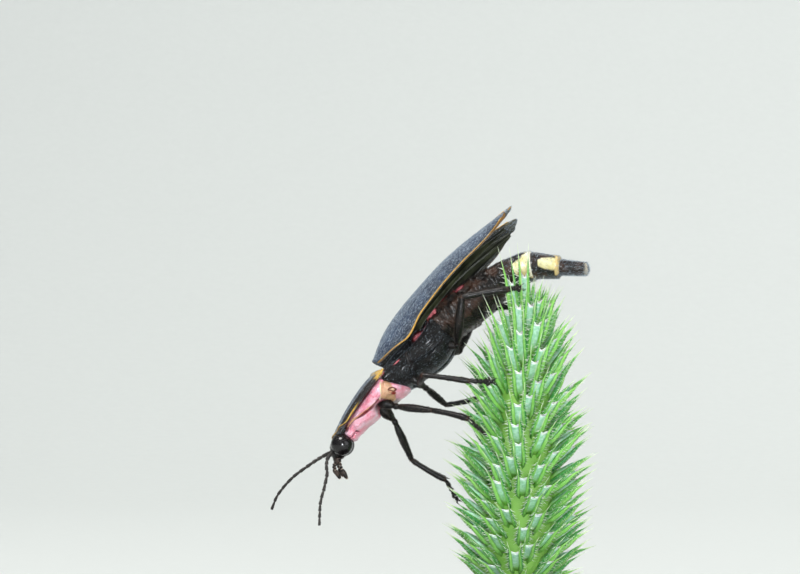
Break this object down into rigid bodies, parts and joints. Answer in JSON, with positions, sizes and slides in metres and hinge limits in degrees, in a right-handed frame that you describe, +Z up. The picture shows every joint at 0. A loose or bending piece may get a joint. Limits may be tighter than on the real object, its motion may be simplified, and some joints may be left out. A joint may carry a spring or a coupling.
{
  "type": "firefly",
  "caption": "Life-size firefly model, head down on a cut grass seed head, wing cases part raised, on a round display stand.",
  "frame": {"origin": "centre of the stand's underside", "axes": "+Z up; the beetle faces -X and climbs down, its left side is towards -Y"},
  "size_m": [0.026, 0.026, 0.0288],
  "materials": {
    "stand_board": "satin black acrylic disc",
    "stand_steel": "fine brushed rod",
    "seed_head": "green glumes with pale, bristly edges",
    "shield": "slate black with a gold-yellow edge",
    "rose_skin": "soft satin rose",
    "black_shell": "glossy black cuticle",
    "brown_shell": "satin dark brown cuticle",
    "lantern": "cream-yellow light organ on brown",
    "wing_case": "fine-grained slate with a gold-yellow edge",
    "membrane": "smoky folded membrane",
    "eye": "polished black"
  },
  "bodies": {
    "root": {"stand_base": "stand_board", "stand_rod": "stand_steel", "perch": "seed_head", "pronotum": "shield", "prothorax": "rose_skin", "mesothorax": "black_shell", "metathorax": "black_shell", "abdomen_front": "brown_shell", "abdomen_middle": "brown_shell", "lantern_front": "lantern", "lantern_rear": "lantern", "abdomen_tip": "brown_shell", "elytron_left": "wing_case", "elytron_right": "wing_case", "hindwing_left": "membrane", "hindwing_right": "membrane", "head": "black_shell", "mouthparts": "black_shell", "eye_left": "eye", "eye_right": "eye", "antenna_left": "black_shell", "antenna_right": "black_shell", "leg_fore_left": "black_shell", "leg_fore_right": "black_shell", "leg_mid_left": "black_shell", "leg_mid_right": "black_shell", "leg_hind_left": "black_shell", "leg_hind_right": "black_shell"}
  },
  "joints": []
}
